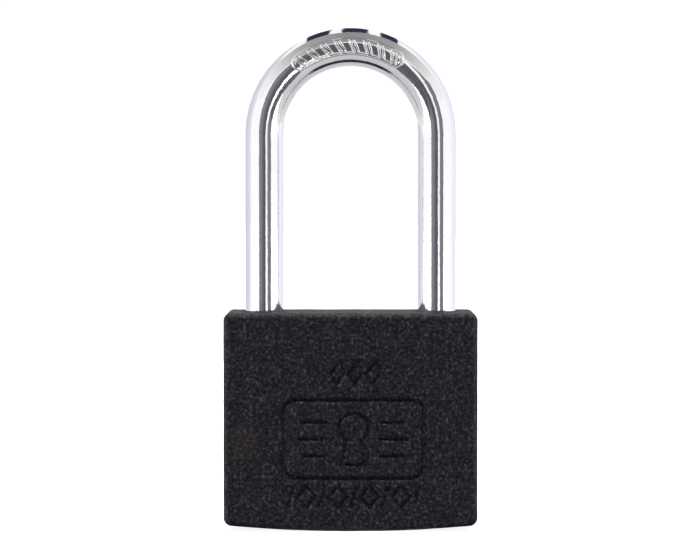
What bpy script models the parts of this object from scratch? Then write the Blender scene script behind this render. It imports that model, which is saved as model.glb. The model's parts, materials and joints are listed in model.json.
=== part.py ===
"""Long-shackle padlock, modelled as the separate pieces it is assembled from.

Metres, +Z up. X runs across the lock, its front face looks towards -Y, and the origin is on
the middle of the underside. The shackle is closed and locked: its heel leg is at -X and its
toe leg, which leaves the body when it opens, is at +X.
"""

import math

import bmesh
import bpy
from mathutils import Matrix, Vector

MM = 0.001

# ---- Driving dimensions -------------------------------------------------------------------

BODY_WIDTH = 50.0 * MM
BODY_DEPTH = 21.0 * MM
BODY_TOP = 43.0 * MM
BODY_BOTTOM_RISE = 1.2 * MM         # the underside is an arc, higher at its two ends
BODY_CORNER_RADIUS = 1.6 * MM
BODY_EDGE_RADIUS = 1.2 * MM

WIRE_RADIUS = 3.85 * MM
LEG_X = 17.15 * MM                  # each shackle leg's distance from the middle
ARCH_CENTRE_Z = 78.4 * MM
TOE_END_Z = 33.0 * MM
HEEL_END_Z = 12.5 * MM
LEG_END_CHAMFER = 0.6 * MM

SHACKLE_LIFT = 11.0 * MM
BOLT_TRAVEL = 4.0 * MM
PLUG_TURN = math.radians(90.0)

GAP = 0.3 * MM                      # between pieces that rest on each other
SLIDE_GAP = 0.15 * MM               # round a piece that turns or slides

# Leg bores and the heel leg's neck, which the heel pin catches
BORE_RADIUS = WIRE_RADIUS + 0.25 * MM
BORE_MOUTH_CHAMFER = 0.4 * MM
HEEL_BORE_BOTTOM = 3.0 * MM
TOE_BORE_BOTTOM = TOE_END_Z - 1.5 * MM
NECK_RADIUS = 2.4 * MM
NECK_BOTTOM = HEEL_END_Z + 3.0 * MM
NECK_TOP = 29.8 * MM
PIN_RADIUS = 1.25 * MM
PIN_HOLE_RADIUS = PIN_RADIUS + 0.1 * MM
HEEL_PIN_X = -13.25 * MM
HEEL_PIN_Z = NECK_TOP - PIN_RADIUS - 0.4 * MM
HEEL_PIN_FRONT = -7.7 * MM
BACK_PIN_END = BODY_DEPTH / 2 - 0.2 * MM

# Locking bolts, in one cross bore
BOLT_RADIUS = 2.5 * MM
BOLT_Z = 38.0 * MM
BOLT_NOSE_X = 15.05 * MM
BOLT_TAIL_X = 6.45 * MM
SIDE_PLUG_INNER = 21.8 * MM

# Cam
CAM_CLEARANCE = 0.3 * MM
CAM_RADIUS = BOLT_TAIL_X - CAM_CLEARANCE
CAM_HEAD_BOTTOM = 34.6 * MM
CAM_HEAD_TOP = 40.8 * MM
CAM_JOURNAL_BOTTOM = 29.0 * MM
CAM_CAVITY_RADIUS = 6.6 * MM
CAM_CAVITY_TOP = 41.3 * MM

# Lock cylinder: a shell with a bible, the thick side that holds the pin chambers, towards +X
SHELL_RADIUS = 6.8 * MM
SHELL_BOTTOM = 1.0 * MM
SHELL_TOP = 25.0 * MM
BIBLE_HALF_WIDTH = 3.0 * MM
BIBLE_END_X = 14.2 * MM
BIBLE_CORNER_RADIUS = 1.0 * MM
POCKET_GAP = 0.25 * MM
POCKET_TOP = SHELL_TOP + GAP
COUNTERBORE_RADIUS = 6.05 * MM
COUNTERBORE_TOP = 2.3 * MM
COVER_THICKNESS = 0.5 * MM
COVER_HALF_WIDTH = 2.0 * MM
COVER_BOTTOM = 3.0 * MM
COVER_TOP = 23.0 * MM
COVER_INNER_X = 13.45 * MM
COVER_SIDE_GAP = 0.2 * MM
COVER_SEAT_GAP = 0.1 * MM
CYLINDER_PIN_Z = 20.0 * MM
CYLINDER_PIN_FRONT = SHELL_RADIUS - 0.7 * MM
CYLINDER_PIN_END_GAP = 0.2 * MM

# Plug, with the tang that drives the cam
PLUG_RADIUS = SHELL_RADIUS - 1.8 * MM
PLUG_BOTTOM = 0.8 * MM
PLUG_TOP = 24.8 * MM
PLUG_HEAD_RADIUS = 5.8 * MM
PLUG_HEAD_TOP = 2.0 * MM
SPIGOT_RADIUS = 3.4 * MM
SPIGOT_TOP = 27.0 * MM
GROOVE_RADIUS = 2.6 * MM
CLIP_BOTTOM = SHELL_TOP + GAP
CLIP_THICKNESS = 0.6 * MM
CLIP_OUTER_RADIUS = 4.6 * MM
CLIP_OPENING = math.radians(100.0)
TANG_LENGTH = 6.0 * MM
TANG_WIDTH = 2.5 * MM
TANG_TOP = 31.0 * MM
KEYWAY_TOP = 23.5 * MM
KEYWAY_WIDTH = 1.5 * MM
KEYWAY_RUNS = [                     # start, end and sideways shift of each straight run
    (-4.2 * MM, -1.5 * MM, 0.45 * MM),
    (-1.5 * MM, 1.3 * MM, -0.35 * MM),
    (1.3 * MM, 4.3 * MM, 0.3 * MM),
]

# Pin stacks, one above another in the bible
PIN_COUNT = 5
FIRST_PIN_Z = 5.0 * MM
PIN_PITCH = 4.0 * MM
TUMBLER_RADIUS = 1.1 * MM
CHAMBER_RADIUS = TUMBLER_RADIUS + SLIDE_GAP
PLUG_HOLE_RADIUS = TUMBLER_RADIUS + 0.1 * MM
KEY_PIN_OUTER_X = 4.85 * MM
KEY_PIN_TIP = 0.8 * MM
KEY_PIN_LENGTHS = [3.0 * MM, 4.2 * MM, 3.4 * MM, 4.6 * MM, 3.8 * MM]
DRIVER_INNER_X = 5.2 * MM
DRIVER_LENGTH = 3.5 * MM
PIN_SPRING_START = 8.8 * MM
PIN_SPRING_END = 13.2 * MM
PIN_SPRING_RADIUS = 0.8 * MM
PIN_SPRING_WIRE = 0.2 * MM
PIN_SPRING_TURNS = 4

# Spring under the heel leg
SHACKLE_SPRING_BOTTOM = HEEL_BORE_BOTTOM + 0.2 * MM
SHACKLE_SPRING_TOP = HEEL_END_Z - 0.2 * MM
SHACKLE_SPRING_RADIUS = 3.2 * MM
SHACKLE_SPRING_WIRE = 0.4 * MM
SHACKLE_SPRING_TURNS = 5

# How finely round shapes are divided
ROUND_STEPS = 36
SMALL_ROUND_STEPS = 16
DOME_STEPS = 5
CORNER_STEPS = 4
BOTTOM_STEPS = 10
WIRE_SIDES = 24
ARCH_STEPS = 28
SPRING_SIDES = 8
CAM_OUTLINE_STEPS = 180
CAM_SWEEP_STEPS = 90
MERGE_DISTANCE = 0.00001
PAST = 1.0 * MM                     # how far a cutter runs past the face it opens


# ---- Scene helpers ------------------------------------------------------------------------

def clear_scene():
    for obj in list(bpy.data.objects):
        bpy.data.objects.remove(obj, do_unlink=True)


def new_collection(name):
    collection = bpy.data.collections.new(name)
    bpy.context.scene.collection.children.link(collection)
    return collection


def new_material(name, colour, metallic, roughness):
    material = bpy.data.materials.new(name)
    material.use_nodes = True
    shader = material.node_tree.nodes["Principled BSDF"]
    shader.inputs["Base Color"].default_value = (*colour, 1.0)
    shader.inputs["Metallic"].default_value = metallic
    shader.inputs["Roughness"].default_value = roughness
    return material


def place(obj, collection):
    """Keep the object in one collection only, and dress a cutter as a cutter."""
    for old in list(obj.users_collection):
        old.objects.unlink(obj)
    collection.objects.link(obj)
    if collection == CUTTERS:
        obj.hide_render = True
        obj.display_type = "WIRE"
    return obj


def mesh_from_curve(curve_object):
    """Turn a curve object into a closed mesh object of the same name and place."""
    graph = bpy.context.evaluated_depsgraph_get()
    mesh = bpy.data.meshes.new_from_object(curve_object.evaluated_get(graph))
    work = bmesh.new()
    work.from_mesh(mesh)
    bmesh.ops.remove_doubles(work, verts=work.verts, dist=MERGE_DISTANCE)
    bmesh.ops.dissolve_limit(
        work, angle_limit=math.radians(0.05), verts=work.verts, edges=work.edges
    )
    bmesh.ops.recalc_face_normals(work, faces=work.faces)
    work.to_mesh(mesh)
    work.free()
    name = curve_object.name
    collection = curve_object.users_collection[0]
    matrix = curve_object.matrix_world.copy()
    bpy.data.objects.remove(curve_object, do_unlink=True)
    obj = bpy.data.objects.new(name, mesh)
    obj.matrix_world = matrix
    return place(obj, collection)


# ---- Shapes -------------------------------------------------------------------------------

def box(name, low, high, collection):
    """A box between two corners."""
    low = Vector(low)
    high = Vector(high)
    bpy.ops.mesh.primitive_cube_add(size=1.0, location=(low + high) / 2)
    obj = bpy.context.active_object
    obj.name = name
    obj.data.transform(Matrix.Diagonal((high - low).to_4d()))
    return place(obj, collection)


def rod(name, radius, start, end, collection, steps=SMALL_ROUND_STEPS):
    """A round bar between two points."""
    start = Vector(start)
    end = Vector(end)
    span = end - start
    mesh = bpy.data.meshes.new(name)
    work = bmesh.new()
    bmesh.ops.create_cone(
        work,
        cap_ends=True,
        segments=steps,
        radius1=radius,
        radius2=radius,
        depth=span.length,
    )
    work.to_mesh(mesh)
    work.free()
    obj = bpy.data.objects.new(name, mesh)
    obj.location = (start + end) / 2
    obj.rotation_euler = span.to_track_quat("Z", "X").to_euler()
    return place(obj, collection)


def turned(name, profile, collection, steps=ROUND_STEPS):
    """A shape turned about its own Z. The profile holds (radius, height), outer side downwards."""
    mesh = bpy.data.meshes.new(name)
    points = [(radius, 0.0, height) for radius, height in profile]
    edges = [(index, index + 1) for index in range(len(points) - 1)]
    mesh.from_pydata(points, edges, [])
    obj = bpy.data.objects.new(name, mesh)
    screw = obj.modifiers.new("turn", "SCREW")
    screw.axis = "Z"
    screw.angle = math.tau
    screw.steps = steps
    screw.render_steps = steps
    screw.use_merge_vertices = True
    screw.merge_threshold = MERGE_DISTANCE
    screw.use_smooth_shade = False
    return place(obj, collection)


def turned_ring(name, inner, outer, bottom, top, collection, steps=ROUND_STEPS):
    """A flat-sided ring turned about its own Z."""
    obj = turned(name, [(outer, top), (outer, bottom), (inner, bottom), (inner, top)],
                 collection, steps)
    profile = obj.data
    profile.edges.add(1)
    profile.edges[-1].vertices = (3, 0)
    return obj


def flat_solid(name, outline, bottom, top, collection):
    """A flat outline in X and Y, between two heights, as a mesh."""
    curve = bpy.data.curves.new(name, "CURVE")
    curve.dimensions = "2D"
    curve.fill_mode = "BOTH"
    curve.extrude = (top - bottom) / 2
    spline = curve.splines.new("POLY")
    spline.points.add(len(outline) - 1)
    for point, (x, y) in zip(spline.points, outline):
        point.co = (x, y, 0.0, 1.0)
    spline.use_cyclic_u = True
    obj = bpy.data.objects.new(name, curve)
    obj.location = (0.0, 0.0, (top + bottom) / 2)
    place(obj, collection)
    bpy.context.view_layer.update()
    return mesh_from_curve(obj)


def wire(name, points, radius, sides, collection):
    """A round wire through the points, with filled ends, as a curve object."""
    curve = bpy.data.curves.new(name, "CURVE")
    curve.dimensions = "3D"
    curve.bevel_depth = radius
    curve.bevel_resolution = (sides - 4) // 2
    curve.use_fill_caps = True
    spline = curve.splines.new("POLY")
    spline.points.add(len(points) - 1)
    for point, position in zip(spline.points, points):
        point.co = (*position, 1.0)
    return place(bpy.data.objects.new(name, curve), collection)


def coil_spring(name, radius, wire_radius, length, turns, steps_per_turn, collection):
    """A coil about its own Z, standing on its origin."""
    climb = length - 2 * wire_radius
    count = turns * steps_per_turn
    points = []
    for index in range(count + 1):
        angle = math.tau * index / steps_per_turn
        height = wire_radius + climb * index / count
        points.append((radius * math.cos(angle), radius * math.sin(angle), height))
    return wire(name, points, wire_radius, SPRING_SIDES, collection)


def arc(centre, radius, start, end, steps):
    """Points on an arc in a plane, both ends included."""
    points = []
    for index in range(steps + 1):
        angle = start + (end - start) * index / steps
        points.append((centre[0] + radius * math.cos(angle), centre[1] + radius * math.sin(angle)))
    return points


# ---- Modifiers and finish -----------------------------------------------------------------

def boolean(obj, other, operation):
    modifier = obj.modifiers.new(other.name, "BOOLEAN")
    modifier.operation = operation
    modifier.solver = "EXACT"
    modifier.object = other


def cut(obj, *cutters):
    for cutter in cutters:
        boolean(obj, cutter, "DIFFERENCE")


def bevel(obj, width, segments):
    modifier = obj.modifiers.new("edges", "BEVEL")
    modifier.width = width
    modifier.segments = segments
    modifier.limit_method = "ANGLE"
    modifier.angle_limit = math.radians(50.0)
    modifier.use_clamp_overlap = False


def finish(obj, material, parent=None):
    """Give a piece its material, smooth its round sides and hang it on its parent."""
    obj.data.materials.clear()
    obj.data.materials.append(material)
    if obj.type == "MESH" and obj.data.polygons:
        obj.data.shade_smooth()
        obj.data.set_sharp_from_angle(angle=math.radians(40.0))
    if parent is not None:
        obj.parent = parent
    return obj


# ---- Body ---------------------------------------------------------------------------------

def body_outline():
    """The front outline, anticlockwise from the lower left corner, as (x, height)."""
    half = BODY_WIDTH / 2
    radius = BODY_CORNER_RADIUS
    turn = math.pi / 2
    inner = half - radius
    outline = []
    for index in range(BOTTOM_STEPS + 1):
        x = inner * (2 * index / BOTTOM_STEPS - 1)
        outline.append((x, BODY_BOTTOM_RISE * (x / half) ** 2))
    corner_low = BODY_BOTTOM_RISE * (inner / half) ** 2 + radius
    corner_high = BODY_TOP - radius
    outline += arc((inner, corner_low), radius, -turn, 0.0, CORNER_STEPS)[1:]
    outline += arc((inner, corner_high), radius, 0.0, turn, CORNER_STEPS)
    outline += arc((-inner, corner_high), radius, turn, 2 * turn, CORNER_STEPS)
    outline += arc((-inner, corner_low), radius, 2 * turn, 3 * turn, CORNER_STEPS)[:-1]
    return outline


def leg_bore_cutter(name, x, bottom):
    """A blind bore from the top face, with a chamfered mouth."""
    mouth = BODY_TOP - BORE_MOUTH_CHAMFER
    profile = [
        (0.0, BODY_TOP + PAST),
        (BORE_RADIUS + BORE_MOUTH_CHAMFER + PAST, BODY_TOP + PAST),
        (BORE_RADIUS, mouth),
        (BORE_RADIUS, bottom),
        (0.0, bottom),
    ]
    cutter = turned(name, profile, CUTTERS)
    cutter.location = (x, 0.0, 0.0)
    return cutter


def shell_outline(grow):
    """The lock cylinder's outline with its bible towards +X, grown by a clearance."""
    radius = SHELL_RADIUS + grow
    half = BIBLE_HALF_WIDTH + grow
    end = BIBLE_END_X + grow
    corner = BIBLE_CORNER_RADIUS + grow
    meet = math.asin(half / radius)
    turn = math.pi / 2
    outline = arc((0.0, 0.0), radius, meet, math.tau - meet, ROUND_STEPS)
    outline += arc((end - corner, corner - half), corner, -turn, 0.0, CORNER_STEPS)
    outline += arc((end - corner, half - corner), corner, 0.0, turn, CORNER_STEPS)
    return outline


def back_hole_cutter(name, x, z, front):
    """A pin hole drilled from the back face to the depth given."""
    return rod(name, PIN_HOLE_RADIUS, (x, front, z), (x, BODY_DEPTH / 2 + PAST, z), CUTTERS)


def make_lock_body(material):
    half_depth = BODY_DEPTH / 2
    body = flat_solid("lock_body", body_outline(), -half_depth, half_depth, PARTS)
    body.rotation_euler = (math.pi / 2, 0.0, 0.0)
    bevel(body, BODY_EDGE_RADIUS, 3)
    pocket = flat_solid("cut_cylinder_pocket", shell_outline(POCKET_GAP), -PAST, POCKET_TOP, CUTTERS)
    cavity = rod(
        "cut_cam_cavity",
        CAM_CAVITY_RADIUS,
        (0.0, 0.0, SHELL_TOP - PAST),
        (0.0, 0.0, CAM_CAVITY_TOP),
        CUTTERS,
        ROUND_STEPS,
    )
    cross_bore = rod(
        "cut_cross_bore",
        BOLT_RADIUS + SLIDE_GAP,
        (-LEG_X, 0.0, BOLT_Z),
        (BODY_WIDTH / 2 + PAST, 0.0, BOLT_Z),
        CUTTERS,
        ROUND_STEPS,
    )
    cut(
        body,
        leg_bore_cutter("cut_heel_bore", -LEG_X, HEEL_BORE_BOTTOM),
        leg_bore_cutter("cut_toe_bore", LEG_X, TOE_BORE_BOTTOM),
        pocket,
        cavity,
        cross_bore,
        back_hole_cutter("cut_heel_pin_hole", HEEL_PIN_X, HEEL_PIN_Z, HEEL_PIN_FRONT - GAP),
        back_hole_cutter("cut_cylinder_pin_hole", 0.0, CYLINDER_PIN_Z, SHELL_RADIUS - PAST),
    )
    return finish(body, material)


def make_back_pin(name, x, z, front, material):
    """A round pin pressed in from the back face."""
    pin = rod(name, PIN_RADIUS, (x, front, z), (x, BACK_PIN_END, z), PARTS)
    return finish(pin, material)


def make_side_plug(material):
    """The disc that closes the cross bore at the toe side."""
    start = (SIDE_PLUG_INNER, 0.0, BOLT_Z)
    end = (BODY_WIDTH / 2 - SLIDE_GAP, 0.0, BOLT_Z)
    return finish(rod("side_plug", BOLT_RADIUS, start, end, PARTS, ROUND_STEPS), material)


# ---- Shackle ------------------------------------------------------------------------------

def shackle_path():
    path = [(-LEG_X, 0.0, HEEL_END_Z)]
    for x, z in arc((0.0, ARCH_CENTRE_Z), LEG_X, math.pi, 0.0, ARCH_STEPS):
        path.append((x, 0.0, z))
    path.append((LEG_X, 0.0, TOE_END_Z))
    return path


def notch_cutter(name, side):
    """The space that a bolt's nose sweeps through the leg as the shackle rises."""
    radius = BOLT_RADIUS + GAP
    nose = BOLT_NOSE_X - BOLT_RADIUS
    seats = [(nose, BOLT_Z), (nose - BOLT_TRAVEL, BOLT_Z - SHACKLE_LIFT)]
    mesh = bpy.data.meshes.new(name)
    work = bmesh.new()
    for x, z in seats:
        place_at = Matrix.Translation((side * x, 0.0, z))
        bmesh.ops.create_uvsphere(
            work, u_segments=SMALL_ROUND_STEPS, v_segments=12, radius=radius, matrix=place_at
        )
    bmesh.ops.delete(work, geom=work.edges, context="EDGES_FACES")
    bmesh.ops.convex_hull(work, input=work.verts)
    inside = [vert for vert in work.verts if not vert.link_faces]
    bmesh.ops.delete(work, geom=inside, context="VERTS")
    bmesh.ops.recalc_face_normals(work, faces=work.faces)
    work.to_mesh(mesh)
    work.free()
    return place(bpy.data.objects.new(name, mesh), CUTTERS)


def make_shackle(material):
    curve = wire("shackle", shackle_path(), WIRE_RADIUS, WIRE_SIDES, PARTS)
    bpy.context.view_layer.update()
    shackle = mesh_from_curve(curve)
    bevel(shackle, LEG_END_CHAMFER, 1)
    neck = turned_ring("cut_neck", NECK_RADIUS, BORE_RADIUS + PAST, NECK_BOTTOM, NECK_TOP, CUTTERS)
    neck.location = (-LEG_X, 0.0, 0.0)
    cut(shackle, neck, notch_cutter("cut_heel_notch", -1), notch_cutter("cut_toe_notch", 1))
    return finish(shackle, material)


def make_shackle_spring(material):
    spring = coil_spring(
        "shackle_spring",
        SHACKLE_SPRING_RADIUS,
        SHACKLE_SPRING_WIRE,
        SHACKLE_SPRING_TOP - SHACKLE_SPRING_BOTTOM,
        SHACKLE_SPRING_TURNS,
        10,
        PARTS,
    )
    spring.location = (-LEG_X, 0.0, SHACKLE_SPRING_BOTTOM)
    return finish(spring, material)


# ---- Locking bolts and cam ----------------------------------------------------------------

def make_bolt(name, side, material):
    """A pin with round ends, lying along X, whose nose sits in the leg's notch."""
    half = (BOLT_NOSE_X - BOLT_TAIL_X) / 2
    straight = half - BOLT_RADIUS
    profile = arc((0.0, straight), BOLT_RADIUS, math.pi / 2, 0.0, DOME_STEPS)
    profile += arc((0.0, -straight), BOLT_RADIUS, 0.0, -math.pi / 2, DOME_STEPS)
    profile[0] = (0.0, half)
    profile[-1] = (0.0, -half)
    bolt = turned(name, profile, PARTS, 24)
    bolt.rotation_euler = (0.0, math.pi / 2, 0.0)
    bolt.location = (side * (BOLT_NOSE_X + BOLT_TAIL_X) / 2, 0.0, BOLT_Z)
    return finish(bolt, material)


def cam_radius(angle):
    """The largest radius at this angle that both bolt tails clear through the whole turn."""
    reach = BOLT_RADIUS + CAM_CLEARANCE
    radius = CAM_RADIUS
    for step in range(CAM_SWEEP_STEPS + 1):
        part = step / CAM_SWEEP_STEPS
        tail = BOLT_TAIL_X + BOLT_RADIUS - BOLT_TRAVEL * part
        for side in (0.0, math.pi):
            seen = angle + PLUG_TURN * part - side
            across = tail * math.sin(seen)
            along = tail * math.cos(seen)
            if along > 0.0 and abs(across) < reach:
                radius = min(radius, along - math.sqrt(reach ** 2 - across ** 2))
    return radius


def cam_outline():
    """A round head with two scoops that the bolt tails drop into."""
    outline = []
    for index in range(CAM_OUTLINE_STEPS):
        angle = math.tau * index / CAM_OUTLINE_STEPS
        radius = cam_radius(angle)
        outline.append((radius * math.cos(angle), radius * math.sin(angle)))
    return outline


def make_locking_cam(material, axis):
    cam = flat_solid("locking_cam", cam_outline(), CAM_HEAD_BOTTOM, CAM_HEAD_TOP, PARTS)
    journal = rod(
        "cut_cam_journal",
        CAM_RADIUS,
        (0.0, 0.0, CAM_JOURNAL_BOTTOM),
        (0.0, 0.0, CAM_HEAD_BOTTOM + GAP),
        CUTTERS,
        ROUND_STEPS,
    )
    slot = box(
        "cut_cam_slot",
        (-TANG_LENGTH / 2 - GAP, -TANG_WIDTH / 2 - GAP, CAM_JOURNAL_BOTTOM - PAST),
        (TANG_LENGTH / 2 + GAP, TANG_WIDTH / 2 + GAP, TANG_TOP + GAP),
        CUTTERS,
    )
    boolean(cam, journal, "UNION")
    cut(cam, slot)
    return finish(cam, material, axis)


# ---- Lock cylinder ------------------------------------------------------------------------

def pin_heights():
    return [FIRST_PIN_Z + PIN_PITCH * index for index in range(PIN_COUNT)]


def make_cylinder_shell(material):
    shell = flat_solid("cylinder_shell", shell_outline(0.0), SHELL_BOTTOM, SHELL_TOP, PARTS)
    bore_radius = PLUG_RADIUS + SLIDE_GAP
    bore = turned(
        "cut_shell_bore",
        [
            (0.0, SHELL_TOP + PAST),
            (bore_radius, SHELL_TOP + PAST),
            (bore_radius, COUNTERBORE_TOP),
            (COUNTERBORE_RADIUS, COUNTERBORE_TOP),
            (COUNTERBORE_RADIUS, SHELL_BOTTOM - PAST),
            (0.0, SHELL_BOTTOM - PAST),
        ],
        CUTTERS,
    )
    side = COVER_HALF_WIDTH + COVER_SIDE_GAP
    recess = box(
        "cut_cover_recess",
        (COVER_INNER_X - COVER_SEAT_GAP, -side, COVER_BOTTOM - GAP),
        (BIBLE_END_X + PAST, side, COVER_TOP + GAP),
        CUTTERS,
    )
    pin_seat = rod(
        "cut_cylinder_pin_seat",
        PIN_HOLE_RADIUS,
        (0.0, CYLINDER_PIN_FRONT - CYLINDER_PIN_END_GAP, CYLINDER_PIN_Z),
        (0.0, SHELL_RADIUS + PAST, CYLINDER_PIN_Z),
        CUTTERS,
    )
    cut(shell, bore, recess, pin_seat)
    for number, height in enumerate(pin_heights(), 1):
        chamber = rod(
            f"cut_chamber_{number}",
            CHAMBER_RADIUS,
            (PLUG_RADIUS - PAST, 0.0, height),
            (BIBLE_END_X, 0.0, height),
            CUTTERS,
        )
        cut(shell, chamber)
    return finish(shell, material)


def make_pin_chamber_cover(material):
    """The strip that closes the outer ends of the pin chambers."""
    cover = box(
        "pin_chamber_cover",
        (COVER_INNER_X, -COVER_HALF_WIDTH, COVER_BOTTOM),
        (COVER_INNER_X + COVER_THICKNESS, COVER_HALF_WIDTH, COVER_TOP),
        PARTS,
    )
    return finish(cover, material)


def keyway_outline():
    """A stepped slot, as key blanks have: three straight runs set to either side."""
    half = KEYWAY_WIDTH / 2
    lower = []
    upper = []
    for start, end, shift in KEYWAY_RUNS:
        lower += [(start, shift - half), (end, shift - half)]
        upper += [(start, shift + half), (end, shift + half)]
    return lower + upper[::-1]


def make_key_plug(material, axis):
    groove_top = CLIP_BOTTOM + CLIP_THICKNESS + GAP
    groove_bottom = SHELL_TOP + 0.1 * MM
    plug = turned(
        "key_plug",
        [
            (0.0, SPIGOT_TOP),
            (SPIGOT_RADIUS, SPIGOT_TOP),
            (SPIGOT_RADIUS, groove_top),
            (GROOVE_RADIUS, groove_top),
            (GROOVE_RADIUS, groove_bottom),
            (SPIGOT_RADIUS, groove_bottom),
            (SPIGOT_RADIUS, PLUG_TOP),
            (PLUG_RADIUS, PLUG_TOP),
            (PLUG_RADIUS, PLUG_HEAD_TOP),
            (PLUG_HEAD_RADIUS, PLUG_HEAD_TOP),
            (PLUG_HEAD_RADIUS, PLUG_BOTTOM),
            (0.0, PLUG_BOTTOM),
        ],
        PARTS,
    )
    tang = box(
        "cut_plug_tang",
        (-TANG_LENGTH / 2, -TANG_WIDTH / 2, SPIGOT_TOP - GAP),
        (TANG_LENGTH / 2, TANG_WIDTH / 2, TANG_TOP),
        CUTTERS,
    )
    keyway = flat_solid("cut_keyway", keyway_outline(), PLUG_BOTTOM - PAST, KEYWAY_TOP, CUTTERS)
    boolean(plug, tang, "UNION")
    cut(plug, keyway)
    for number, height in enumerate(pin_heights(), 1):
        hole = rod(
            f"cut_plug_hole_{number}",
            PLUG_HOLE_RADIUS,
            (0.0, 0.0, height),
            (PLUG_RADIUS + PAST, 0.0, height),
            CUTTERS,
        )
        cut(plug, hole)
    return finish(plug, material, axis)


def make_plug_retaining_clip(material, axis):
    """The open ring that snaps into the plug's groove above the shell."""
    inner = GROOVE_RADIUS + SLIDE_GAP
    start = CLIP_OPENING / 2 - math.pi / 2
    end = start + math.tau - CLIP_OPENING
    outline = arc((0.0, 0.0), CLIP_OUTER_RADIUS, start, end, 28)
    outline += arc((0.0, 0.0), inner, end, start, 28)
    top = CLIP_BOTTOM + CLIP_THICKNESS
    return finish(flat_solid("plug_retaining_clip", outline, CLIP_BOTTOM, top, PARTS), material, axis)


def make_key_pin(number, height, length, material, axis):
    """A key pin with a tapered tip, its flat end at the shear line."""
    tip_end = TUMBLER_RADIUS * 0.35
    profile = [
        (0.0, 0.0),
        (TUMBLER_RADIUS, 0.0),
        (TUMBLER_RADIUS, KEY_PIN_TIP - length),
        (tip_end, -length),
        (0.0, -length),
    ]
    pin = turned(f"key_pin_{number}", profile, PARTS, SMALL_ROUND_STEPS)
    pin.location = (KEY_PIN_OUTER_X, 0.0, height)
    pin.rotation_euler = (0.0, math.pi / 2, 0.0)
    return finish(pin, material, axis)


def make_driver_pin(number, height, material):
    start = (DRIVER_INNER_X, 0.0, height)
    end = (DRIVER_INNER_X + DRIVER_LENGTH, 0.0, height)
    return finish(rod(f"driver_pin_{number}", TUMBLER_RADIUS, start, end, PARTS), material)


def make_pin_spring(number, height, material):
    spring = coil_spring(
        f"pin_spring_{number}",
        PIN_SPRING_RADIUS,
        PIN_SPRING_WIRE,
        PIN_SPRING_END - PIN_SPRING_START,
        PIN_SPRING_TURNS,
        8,
        PARTS,
    )
    spring.location = (PIN_SPRING_START, 0.0, height)
    spring.rotation_euler = (0.0, math.pi / 2, 0.0)
    return finish(spring, material)


# ---- Assembly -----------------------------------------------------------------------------

def make_plug_axis():
    """The empty that the turning pieces hang on, on the plug's axis."""
    axis = bpy.data.objects.new("plug_axis", None)
    return place(axis, PARTS)


def make_padlock():
    coat = new_material("black_coating", (0.016, 0.017, 0.019), 0.0, 0.5)
    chrome = new_material("chrome_plate", (0.8, 0.8, 0.82), 1.0, 0.08)
    brass = new_material("brass", (0.78, 0.57, 0.25), 1.0, 0.3)
    steel = new_material("steel", (0.56, 0.57, 0.58), 1.0, 0.35)
    spring_steel = new_material("spring_steel", (0.42, 0.43, 0.45), 1.0, 0.3)
    axis = make_plug_axis()

    make_lock_body(coat)
    make_side_plug(coat)
    make_back_pin("heel_retaining_pin", HEEL_PIN_X, HEEL_PIN_Z, HEEL_PIN_FRONT, steel)
    make_back_pin("cylinder_retaining_pin", 0.0, CYLINDER_PIN_Z, CYLINDER_PIN_FRONT, steel)

    make_shackle(chrome)
    make_shackle_spring(spring_steel)
    make_bolt("locking_bolt_heel", -1, steel)
    make_bolt("locking_bolt_toe", 1, steel)
    make_locking_cam(steel, axis)

    make_cylinder_shell(brass)
    make_pin_chamber_cover(brass)
    make_key_plug(brass, axis)
    make_plug_retaining_clip(spring_steel, axis)
    for number, (height, length) in enumerate(zip(pin_heights(), KEY_PIN_LENGTHS), 1):
        make_key_pin(number, height, length, brass, axis)
        make_driver_pin(number, height, brass)
        make_pin_spring(number, height, spring_steel)


clear_scene()
PARTS = new_collection("padlock")
CUTTERS = new_collection("cutters")
make_padlock()
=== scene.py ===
import json
import math

import bmesh
import bpy
import numpy as np
from mathutils import Matrix, Vector, noise


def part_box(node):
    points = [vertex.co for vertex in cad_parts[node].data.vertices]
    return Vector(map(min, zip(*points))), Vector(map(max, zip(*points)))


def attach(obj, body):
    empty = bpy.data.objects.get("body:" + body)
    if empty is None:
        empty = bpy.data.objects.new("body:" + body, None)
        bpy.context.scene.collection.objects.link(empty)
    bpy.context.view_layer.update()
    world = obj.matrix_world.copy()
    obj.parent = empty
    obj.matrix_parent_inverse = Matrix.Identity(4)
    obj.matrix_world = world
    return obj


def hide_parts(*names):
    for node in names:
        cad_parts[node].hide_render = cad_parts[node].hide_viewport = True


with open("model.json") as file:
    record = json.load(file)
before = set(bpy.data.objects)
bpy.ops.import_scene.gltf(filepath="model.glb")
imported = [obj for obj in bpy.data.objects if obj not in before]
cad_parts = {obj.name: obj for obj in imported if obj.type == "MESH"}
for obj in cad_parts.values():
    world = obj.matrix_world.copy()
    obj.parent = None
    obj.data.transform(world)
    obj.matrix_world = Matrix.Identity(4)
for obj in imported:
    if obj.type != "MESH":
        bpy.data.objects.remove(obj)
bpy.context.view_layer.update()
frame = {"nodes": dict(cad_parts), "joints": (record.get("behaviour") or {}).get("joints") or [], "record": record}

MM = 0.001

# ---- Sizes read from the frame ------------------------------------------------------------

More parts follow.
